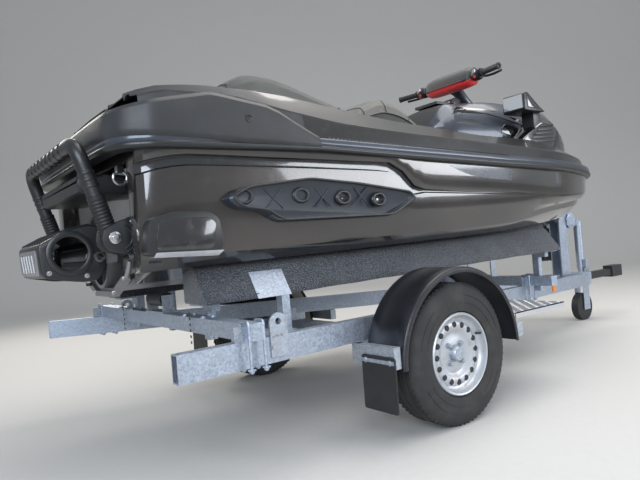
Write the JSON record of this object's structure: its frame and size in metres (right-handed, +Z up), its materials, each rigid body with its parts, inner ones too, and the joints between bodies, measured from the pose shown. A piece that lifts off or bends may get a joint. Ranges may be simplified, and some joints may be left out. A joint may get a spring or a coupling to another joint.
{
  "type": "personal watercraft on a road trailer",
  "caption": "Jet-driven personal watercraft with seats, handlebar, storage hood, reverse bucket and boarding step, resting on the bunks of a galvanised road trailer with a jockey wheel.",
  "frame": {"origin": "on the floor under the middle of the whole outline", "axes": "+X forward to the bow and the coupling, +Y to port, +Z up"},
  "size_m": [4.358, 1.744, 1.786],
  "materials": {
    "hull_gelcoat": "bronze-grey metallic gelcoat, glossy",
    "black_moulding": "grained black moulding",
    "graphite_panel": "graphite blue-grey, satin",
    "gloss_black": "polished black",
    "seat_vinyl": "olive-grey and black vinyl with piping",
    "deck_mat": "closed-cell tread mat",
    "engine_block": "plain block",
    "black_rubber": "soft black rubber",
    "black_metal": "black powder coat",
    "mirror_glass": "silvered",
    "cast_aluminium": "cast, satin",
    "chequer_aluminium": "chequer plate",
    "bright_steel": "polished stainless",
    "galvanised": "hot-dip galvanised, spangled, a little rust at the ends",
    "blue_paint": "bright blue",
    "bunk_carpet": "black carpet with pale flecks",
    "tyre_rubber": "road tyre",
    "rim_silver": "silver, rust in the well",
    "amber_lens": "amber reflector"
  },
  "bodies": {
    "root": {"axle": "galvanised", "beam_fittings": "galvanised", "bunk_posts": "galvanised", "bunk_saddles": "galvanised", "bunks": "bunk_carpet", "console": "graphite_panel", "coupling": "black_metal", "cross_beams": "galvanised", "deck": "hull_gelcoat", "drawbar_nose": "galvanised", "drawbar_sides": "galvanised", "engine": "engine_block", "footwell_mats": "deck_mat", "front_seat": "seat_vinyl", "hull": "hull_gelcoat", "jack_tube": "galvanised", "keel_supports": "galvanised", "mirror_frames": "black_moulding", "mirror_glasses": "mirror_glass", "mud_flaps": "black_rubber", "mudguard_brackets": "galvanised", "mudguard_left": "black_moulding", "mudguard_right": "black_moulding", "pump_housing": "cast_aluminium", "rear_seat": "seat_vinyl", "reflectors": "amber_lens", "ride_plate": "black_moulding", "rollers": "black_rubber", "rub_rail": "black_moulding", "side_pods": "gloss_black", "side_rails": "galvanised", "spare_rim": "rim_silver", "spare_tyre": "tyre_rubber", "sponsons": "graphite_panel", "step_brackets": "black_moulding", "step_plates": "chequer_aluminium", "step_tread": "black_moulding", "stern_blocks": "black_moulding", "stern_bumper": "black_moulding", "stern_deck": "black_moulding", "tow_eyes": "bright_steel", "winch_drum": "blue_paint", "winch_post": "galvanised"},
    "wheel_left": {"tyre_left": "tyre_rubber", "rim_left": "rim_silver"},
    "wheel_right": {"tyre_right": "tyre_rubber", "rim_right": "rim_silver"},
    "handlebar": {"handlebar": "black_metal", "handlebar_pad": "seat_vinyl", "grips": "black_rubber", "switch_housings": "black_metal"},
    "steering_nozzle": {"steering_nozzle": "black_moulding"},
    "reverse_bucket": {"reverse_bucket": "black_moulding"},
    "boarding_step": {"boarding_step": "black_rubber"},
    "hood": {"hood": "graphite_panel"},
    "glove_lid": {"glove_lid": "black_moulding"},
    "impeller": {"impeller": "cast_aluminium"},
    "jack_leg": {"jack_leg": "galvanised"},
    "jack_fork": {"jack_fork": "galvanised"},
    "jack_wheel": {"jack_wheel": "black_rubber"}
  },
  "joints": [
    {"name": "wheel_left_spin", "type": "hinge", "parent": "root", "child": "wheel_left", "pos_m": [-0.781, 0.765, 0.2875], "axis": [0, 1, 0], "continuous": true},
    {"name": "wheel_right_spin", "type": "hinge", "parent": "root", "child": "wheel_right", "pos_m": [-0.781, -0.765, 0.2875], "axis": [0, 1, 0], "continuous": true},
    {"name": "steering", "type": "hinge", "parent": "root", "child": "handlebar", "pos_m": [0.322, 0, 1.7], "axis": [-0.7634, 0, 0.6459], "range_deg": [-22, 22]},
    {"name": "nozzle_turn", "type": "hinge", "parent": "root", "child": "steering_nozzle", "pos_m": [-1.966, 0, 0.785], "axis": [0, 0, 1], "range_deg": [-22, 22]},
    {"name": "bucket_tilt", "type": "hinge", "parent": "root", "child": "reverse_bucket", "pos_m": [-1.971, 0, 0.8], "axis": [0, 1, 0], "range_deg": [-14, 26]},
    {"name": "step_fold", "type": "hinge", "parent": "root", "child": "boarding_step", "pos_m": [-1.981, 0, 0.857], "axis": [0, -1, 0], "range_deg": [0, 125]},
    {"name": "hood_open", "type": "hinge", "parent": "root", "child": "hood", "pos_m": [1.385, 0, 1.156], "axis": [0, 1, 0], "range_deg": [0, 55]},
    {"name": "glove_lid_open", "type": "hinge", "parent": "root", "child": "glove_lid", "pos_m": [0.191, 0, 1.549], "axis": [0, 1, 0], "range_deg": [0, 65]},
    {"name": "impeller_spin", "type": "hinge", "parent": "root", "child": "impeller", "pos_m": [-1.731, 0, 0.785], "axis": [1, 0, 0], "continuous": true},
    {"name": "jack_slide", "type": "slide", "parent": "root", "child": "jack_leg", "axis": [0, 0, 1], "range_m": [-0.1, 0.09]},
    {"name": "jack_swivel", "type": "hinge", "parent": "jack_leg", "child": "jack_fork", "pos_m": [1.779, 0.082, 0.3], "axis": [0, 0, 1], "continuous": true},
    {"name": "jack_wheel_spin", "type": "hinge", "parent": "jack_fork", "child": "jack_wheel", "pos_m": [1.744, 0.082, 0.105], "axis": [0, 1, 0], "continuous": true}
  ],
  "couplings": [
    {"joint": "nozzle_turn", "follows": "steering", "ratio": 1}
  ]
}
